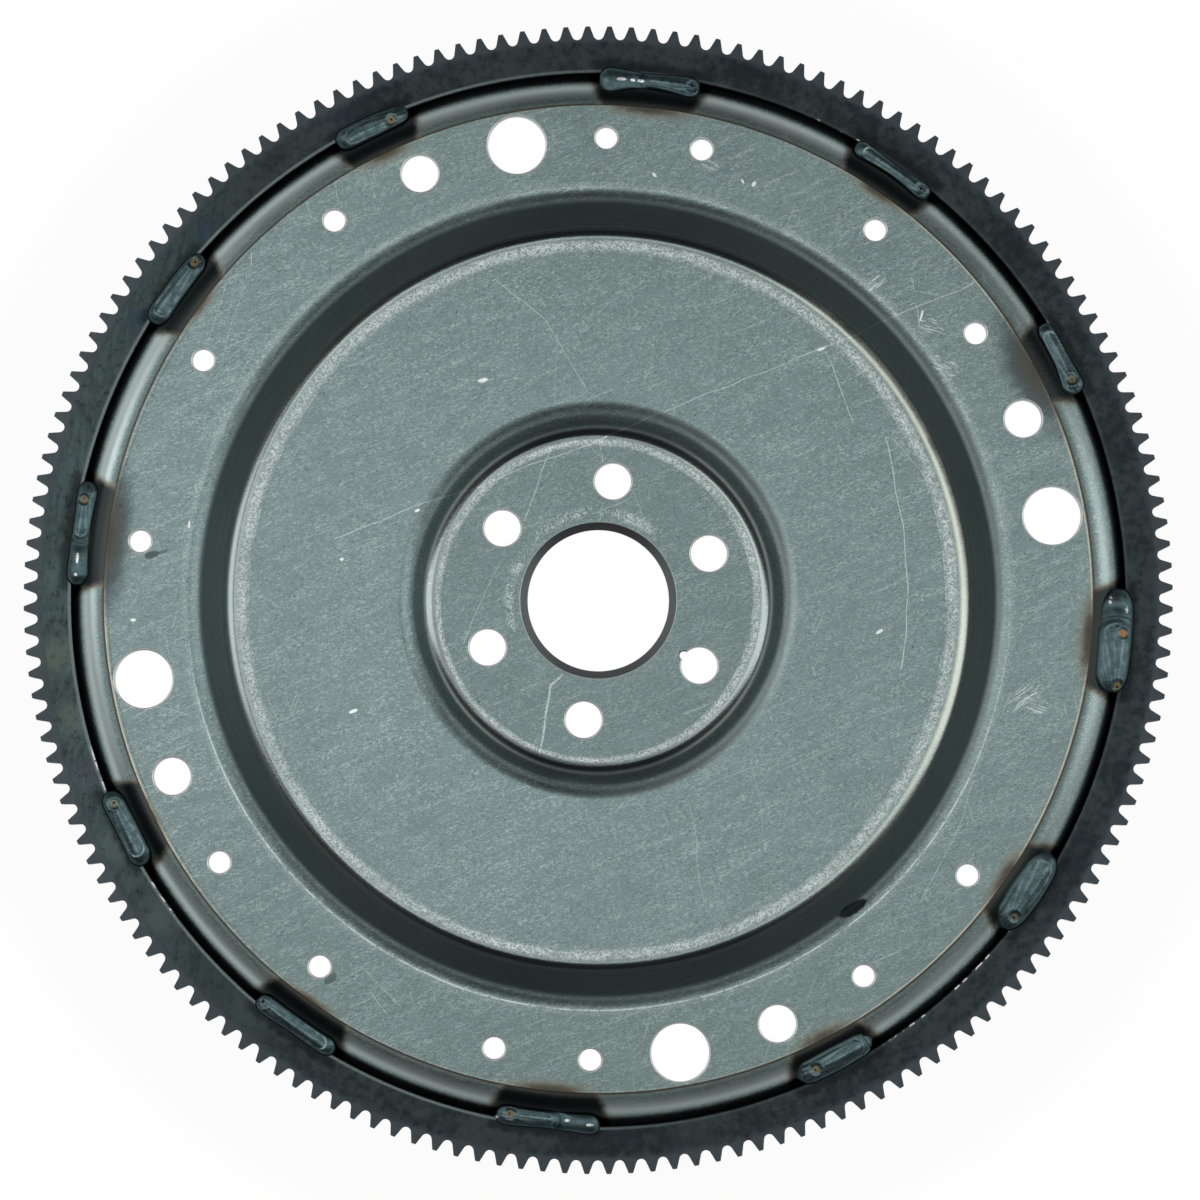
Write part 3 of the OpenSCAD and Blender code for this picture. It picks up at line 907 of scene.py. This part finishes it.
    # painted shade on the bore bevel, a painted highlight on it at the left and right, deeper painted shade
    # at its top, and a painted highlight line round it
    bore = look["boreBevel"]
    bevel = r.step(bore + 0.05, bore - 0.15) * z.step(0.4, 0.7)
    colour = bevel.tint(colour, look["boreEdge"])
    colour = (bevel * abs(x).step(10, 24) * 0.14).tint(colour, look["boreHighlight"])
    colour = (bevel * y.step(8, 22) * 0.45).tint(colour, look["oilAndShade"])
    boreHighlight = r.band(bore, 0.14, 0.08) * z.step(hubFloor - 0.3, hubFloor - 0.1)
    colour = (boreHighlight * 0.7).tint(colour, look["boreHighlight"])

    # rolled shoulder: dark beside the land, a painted highlight along the roll that is weaker on the right,
    # and the land's worn edge with a painted highlight and a painted shade line past it
    past = r.step(land - 0.1, land + 0.15) * z.step(8, 12)
    colour = (past * r.step(land + 3.4, land - 0.4) * 0.92).tint(colour, look["dark"])
    rolledSheen = past * r.band(land + 4.6, 1.6, 1.4) * (0.95 - x.step(60, 150) * 0.7)
    colour = rolledSheen.tint(colour, look["shoulder"])
    colour = (past * r.band(land + 4.2, 2.0, 0.8) * fine.step(0.66, 0.74) * 0.7).tint(colour, look["scuffAndSheen"])
    landFace = z.step(flange - 0.2, flange - 0.1)
    landEdge = r.band(land - 0.4, 0.26, 0.16) * landFace * (0.45 + 0.55 * worn.step(0.3, 0.55))
    # a worn edge line carrying a painted highlight, strongest on the right and lower left
    edgeWearAndSheen = 0.22 - y.step(40, 120) * 0.14 + x.step(30, 140) * 0.9
    edgeWearAndSheen = edgeWearAndSheen + x.step(-105, -150) * y.step(70, 0) * 0.65
    colour = (landEdge * edgeWearAndSheen).tint(colour, look["landEdge"])
    secondLine = r.band(land - 1.3, 0.16, 0.12) * x.step(-90, -130) * landFace * worn.step(0.35, 0.5)
    colour = (secondLine * 0.55).tint(colour, look["brown"])
    # painted shade: a thin brownish dark line in the crease at the foot of the land's step
    colour = (r.band(land + 0.25, 0.3, 0.2) * z.step(20, 22) * 0.85).tint(colour, look["brown"])

    # heat of the welds: tint on the flange, then the burnt shoulder with its brown fringe
    uneven = mottle * 2.2 + worn * 1.2 - 1.7
    reach = 1.18 - inside / 13
    beyond = (land - r).most(0) / (0.8 + 3.2 * heat)
    spread = (reach.most(0) * reach.most(0) + beyond * beyond) ** 0.5 + uneven * 0.2 + (1 - heat) * 0.3
    flangeSide = r.step(land + 0.2, land - 0.1)
    colour = (spread.step(2.4, 0.8) * heat.step(0.9, 1.0) * flangeSide * 0.88).tint(colour, look["blued"])
    cooler = 1 - heat.step(0.9, 1.0) * 0.8
    colour = (spread.step(1.4, 0.8) * flangeSide * cooler * 0.55).tint(colour, look["straw"])
    colour = (spread.step(1.0, 0.4) * flangeSide * (cooler * 0.55 + 0.3)).tint(colour, look["brown"])
    colour = (spread.step(0.55, 0.1) * flangeSide * 0.6).tint(colour, look["blued"])
    burn = inside + 0.5 - (look["burnLine"] - r) * 0.4 + uneven * 0.9
    colour = (burn.step(-3.2, -0.8) * past * 0.5).tint(colour, look["straw"])
    colour = (burn.step(-2.0, -0.3) * past * 0.75).tint(colour, look["brown"])
    burnt = burn.step(-1.1, 0.9) * past
    colour = (burnt * (0.95 - r.step(land + 2.6, land + 0.4) * 0.25)).tint(colour, look["burnt"])
    # painted glow: the holes' rounded rims pale, as if lit by the white background shining through
    colour = (place.mark("holeLip") * 0.75).tint(colour, look["lip"])

    rough = look["roughness"] + (cloud - 0.5) * 0.16 + (fine - 0.5) * 0.12
    smoothed = (foot * (1 - stipple)).most(walls * 0.25)
    rough = rough + smoothed * (look["burnishedRoughness"] - look["roughness"]) + rubAndSheen * 0.14
    rough = rough + past * (look["shoulderRoughness"] - look["roughness"]) - burnt * 0.05
    relief = grain * 0.4 + fine * (0.3 + stipple * 1.6)
    normal = bumped(relief, 0.3, 0.12)
    finishMaterial(place, {"Base Color": colour, "Metallic": 1.0, "Roughness": rough, "Normal": normal})
    return material


# ring steel: dark heat-treated scale, cooler on the teeth, with blued and lighter patches, and a painted
# highlight on the bore edge
# patches: angle, radius and size in millimetres, colour, strength; dashes: angle, half reach, how sparse

ringSteel = dict(
    colour=(0.021, 0.027, 0.030), light=(0.044, 0.058, 0.060), teeth=(0.062, 0.075, 0.085),
    pale=(0.078, 0.116, 0.112), edge=(0.165, 0.205, 0.210), chip=(0.82, 0.80, 0.82),
    burnt=(0.010, 0.012, 0.013), roughness=0.42, toothLine=174.7, weldToe=168,
    patches=(
        (149, 170.5, 4.5, (0.022, 0.038, 0.068), 0.6), (137, 170, 5, (0.022, 0.038, 0.068), 0.5),
        (118, 171, 5, (0.022, 0.034, 0.060), 0.4), (166, 170, 9, (0.055, 0.075, 0.078), 0.7),
        (178, 170, 9, (0.070, 0.095, 0.096), 0.7), (186, 170.5, 8, (0.100, 0.130, 0.105), 0.8),
        (193, 169.5, 8, (0.110, 0.140, 0.120), 0.8), (199, 171, 7, (0.068, 0.066, 0.090), 0.7),
        (207, 170, 9, (0.080, 0.108, 0.100), 0.7), (216, 170, 9, (0.070, 0.092, 0.090), 0.7),
        (230, 170, 10, (0.056, 0.074, 0.074), 0.6), (258, 171, 10, (0.045, 0.060, 0.062), 0.5),
        (280, 170, 12, (0.040, 0.050, 0.054), 0.5),
    ),
    dashes=((314, 12, 0.52), (298, 3, 0.5), (214, 4, 0.5), (200, 4, 0.5), (27, 5, 0.55), (60, 6, 0.58)),
)


def ringMaterial():
    look = ringSteel
    material, place = newMaterial("ringSteel")
    x, y, z, r = axisWires(place)
    inside = place.mark("weldInside")
    cloud = place.noise(0.05, 2.0, 0.6)
    mottle = place.noise(0.35, 3.0, 0.65)
    fine = place.noise(1.6, 2.0, 0.6)
    drawn = place.streaks(82, 6, 1.6, 2.0)
    colour = (cloud * 0.55 + mottle * 0.45).step(0.38, 0.64).tint(look["colour"], look["light"])
    colour = (fine.step(0.60, 0.75) * 0.35).tint(colour, look["light"])
    for angle, radius, size, patch, strength in look["patches"]:
        apart = awayFrom(x, y, *onCircle(radius, angle, 0).xy) + (drawn - 0.5) * size * 1.6
        colour = (apart.step(size, size * 0.25) * strength).tint(colour, patch)
    paler = (x + (mottle - 0.5) * 60).step(-90, -165) * (0.45 + 0.55 * drawn.step(0.4, 0.6))
    colour = (paler * 0.6).tint(colour, look["pale"])
    scaled = (mottle * 0.5 + fine * 0.5).step(0.47, 0.36) * (0.25 + x.step(-60, -150) * 0.35)
    colour = scaled.tint(colour, look["burnt"])
    teeth = look["toothLine"]
    toothZone = (r + (mottle - 0.5) * 1.6).step(teeth - 0.3, teeth + 1.7)
    colour = (toothZone * 0.85).tint(colour, look["teeth"])
    rootLine = r.band(teeth, 0.35, 0.4) * mottle.step(0.35, 0.55)
    colour = (rootLine * 0.5).tint(colour, look["light"])
    # heat burn on the ring beside the beads, with painted shade at their toes
    beside, outside = (0 - inside).most(0) / 2.2, (r - look["weldToe"]).most(0) / 2.0
    weldBurnAndShade = ((beside * beside + outside * outside) ** 0.5 + (mottle - 0.5) * 1.2).step(1.3, 0.1)
    colour = (weldBurnAndShade * 0.7).tint(colour, look["burnt"])
    rim, face = rimRadius / mm, ringTop / mm
    edgeFace = z.step(face - 0.7, face - 0.45)
    boreEdge = r.band(rim + 0.3, 0.28, 0.12) * edgeFace
    # painted highlight on the bore's edge, strong on the left and faint on the right
    edgeHighlight = r.band(rim + 0.5, 0.6, 0.3) * edgeFace * (0.10 + x.step(60, -60) * 0.65)
    colour = edgeHighlight.tint(colour, look["edge"])
    # chips along the bore edge, with a painted highlight in them
    for angle, half, sparse in look["dashes"]:
        towards = place.dot(onCircle(1, angle, 0)) / r
        shown = towards.step(math.cos(math.radians(half)), math.cos(math.radians(half * 0.6)))
        colour = (boreEdge * shown * mottle.step(sparse, sparse + 0.06)).tint(colour, look["chip"])
    rough = look["roughness"] + (cloud - 0.5) * 0.2 + (fine - 0.5) * 0.16
    normal = bumped(mottle * 0.5 + fine * 0.5, 0.3, 0.12)
    finishMaterial(place, {"Base Color": colour, "Metallic": 1.0, "Roughness": rough, "Normal": normal})
    return material


# weld metal: blue-green grey and glossy, with brown glass left in the craters, painted shade at the toes,
# and painted highlights on the pool's rim and as glints

weldMetal = dict(
    colour=(0.052, 0.086, 0.095), light=(0.098, 0.150, 0.158), deepShade=(0.013, 0.019, 0.021),
    flowAndSheen=(0.26, 0.34, 0.35), glassEdge=(0.17, 0.15, 0.085), crust=(0.20, 0.155, 0.065),
    glass=(0.36, 0.150, 0.022), pit=(0.008, 0.007, 0.006), glint=(0.92, 0.95, 0.95), roughness=0.38,
)


def weldMaterial():
    look = weldMetal
    material, place = newMaterial("weldMetal")
    toeShade, slag, glint, flowAndSheen = (place.mark(name) for name in bead["marks"])
    mottle = place.noise(0.4, 2.0, 0.6)
    fine = place.noise(2.2, 2.0, 0.6)
    colour = (mottle * 0.7 + fine * 0.3).step(0.36, 0.66).tint(look["colour"], look["light"])
    # painted shade towards the toes and in the valleys
    colour = ((toeShade + (mottle - 0.5) * 0.35).step(0.30, 0.72) * 0.92).tint(colour, look["deepShade"])
    broken = (fine * 0.5 + mottle * 0.5).step(0.36, 0.56)
    # pale flow lines, and a painted highlight along the pool's rim
    colour = (flowAndSheen.step(0.25, 0.95) * broken).tint(colour, look["flowAndSheen"])
    colour = (slag.step(0.05, 0.3) * 0.75).tint(colour, look["glassEdge"])
    colour = (slag + (fine - 0.5) * 0.5).step(0.35, 0.6).tint(colour, look["crust"])
    colour = slag.step(1.1, 1.4).tint(colour, look["glass"])
    colour = glint.step(-0.2, -0.7).tint(colour, look["pit"])
    # painted glints
    colour = (glint.step(0.0, 1.0) * fine.step(0.3, 0.55)).tint(colour, look["glint"])
    rough = look["roughness"] + (fine - 0.5) * 0.2 - slag.least(1) * 0.12
    metal = slag.step(0.5, 0.1)
    normal = bumped(fine * 0.6 + mottle * 0.4, 0.25, 0.08)
    finishMaterial(place, {"Base Color": colour, "Metallic": metal, "Roughness": rough, "Normal": normal})
    return material


def dress(piece, material, slot, *nodes):
    piece.data.materials.clear()
    piece.data.materials.append(material)
    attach(piece, "root")
    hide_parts(*nodes)


dress(platePiece, plateMaterial(), "plate_steel", "drive_plate")
dress(ringPiece, ringMaterial(), "ring_steel", "ring_gear")
weldFinish = weldMaterial()
for i, piece in enumerate(beadPieces):
    dress(piece, weldFinish, "weld_metal", f"weld_bead_{i + 1:02d}")
print("materials on", 2 + len(beadPieces), "pieces")


# stage: white floor, dim surround that grows lighter to the left and right, soft boxes, camera nearly above
# boxes: azimuth, angle from straight above, length towards the middle and width in metres, brightness

stage = dict(
    floorSize=6.0, floorGrey=0.8, shadowShare=0.05, shadowIn=(150, 185), shadowOut=(235, 195), boxReach=2.0,
    surround=0.06, ends=0.50, sides=0.84,
    boxes=dict(boxLeft=(164, 19, 2.30, 0.62, 2.40), boxRight=(4, 40, 1.60, 0.80, 2.2)),
    cameraReach=1.98, cameraTilt=2.7, frameWidth=0.377, aimOffset=(0.00055, -0.0007),
)


def makeFloor():
    floor = startFrom("floor", bpy.ops.mesh.primitive_plane_add, size=stage["floorSize"])
    material, place = newMaterial("floorWhite")
    r = axisWires(place)[3]
    path = place.node("ShaderNodeLightPath", None, None, "Is Camera Ray")
    rays = [Wire(place.tree, path.socket.node.outputs[name])
            for name in ("Is Camera Ray", "Is Glossy Ray", "Is Transmission Ray")]
    seen = rays[0].most(rays[1]).most(rays[2])
    keeps = r.step(*stage["shadowIn"]) * r.step(*stage["shadowOut"]) * stage["shadowShare"]
    white = place.node("ShaderNodeEmission", None, {"Color": (1, 1, 1, 1), "Strength": 1.0})
    matte = place.node("ShaderNodeBsdfDiffuse", None, {"Color": (*[stage["floorGrey"]] * 3, 1)})
    mixed = place.node("ShaderNodeMixShader", None, {0: seen * (1 - keeps), 1: matte, 2: white})
    place.node("ShaderNodeOutputMaterial", None, {"Surface": mixed})
    floor.data.materials.append(material)


def makeWorld():
    world = bpy.data.worlds.new("surround")
    world.use_nodes = True
    world.node_tree.nodes.clear()
    start = Wire(world.node_tree)
    direction = start.node("ShaderNodeTexCoord", None, None, "Generated")
    upward = direction.node("ShaderNodeSeparateXYZ", None, {0: direction}, 2)
    sideways = abs(Wire(world.node_tree, upward.socket.node.outputs[0]))
    horizon = stage["ends"] + sideways.step(0.15, 0.80) * (stage["sides"] - stage["ends"])
    level = stage["surround"] + abs(upward).step(0.62, 0.25) * (horizon - stage["surround"])
    glow = start.node("ShaderNodeBackground", None, {"Color": (1, 1, 1, 1), "Strength": level})
    start.node("ShaderNodeOutputWorld", None, {"Surface": glow})
    bpy.context.scene.world = world


def makeBox(name, azimuth, away, length, width, brightness):
    light = bpy.data.lights.new(name, "AREA")
    light.shape = "RECTANGLE"
    light.size = width
    light.size_y = length
    light.energy = brightness * math.pi * length * width
    lamp = bpy.data.objects.new(name, light)
    spot = onCircle(math.sin(math.radians(away)), azimuth, math.cos(math.radians(away)))
    lamp.location = spot * stage["boxReach"]
    lamp.rotation_euler = (-spot).to_track_quat("-Z", "Y").to_euler()
    bpy.context.collection.objects.link(lamp)


def makeCamera():
    lens = bpy.data.cameras.new("camera")
    camera = bpy.data.objects.new("camera", lens)
    bpy.context.collection.objects.link(camera)
    tilt = math.radians(stage["cameraTilt"])
    aim = Vector((*stage["aimOffset"], ringTop))
    camera.location = aim + Vector((0, -math.sin(tilt), math.cos(tilt))) * stage["cameraReach"]
    camera.rotation_euler = (tilt, 0, 0)
    lens.sensor_width = 36
    lens.lens = lens.sensor_width * stage["cameraReach"] / stage["frameWidth"]
    bpy.context.scene.camera = camera


makeFloor()
makeWorld()
for name, box in stage["boxes"].items():
    makeBox(name, *box)
makeCamera()
bpy.context.scene.view_settings.view_transform = "Standard"
print("stage ready")
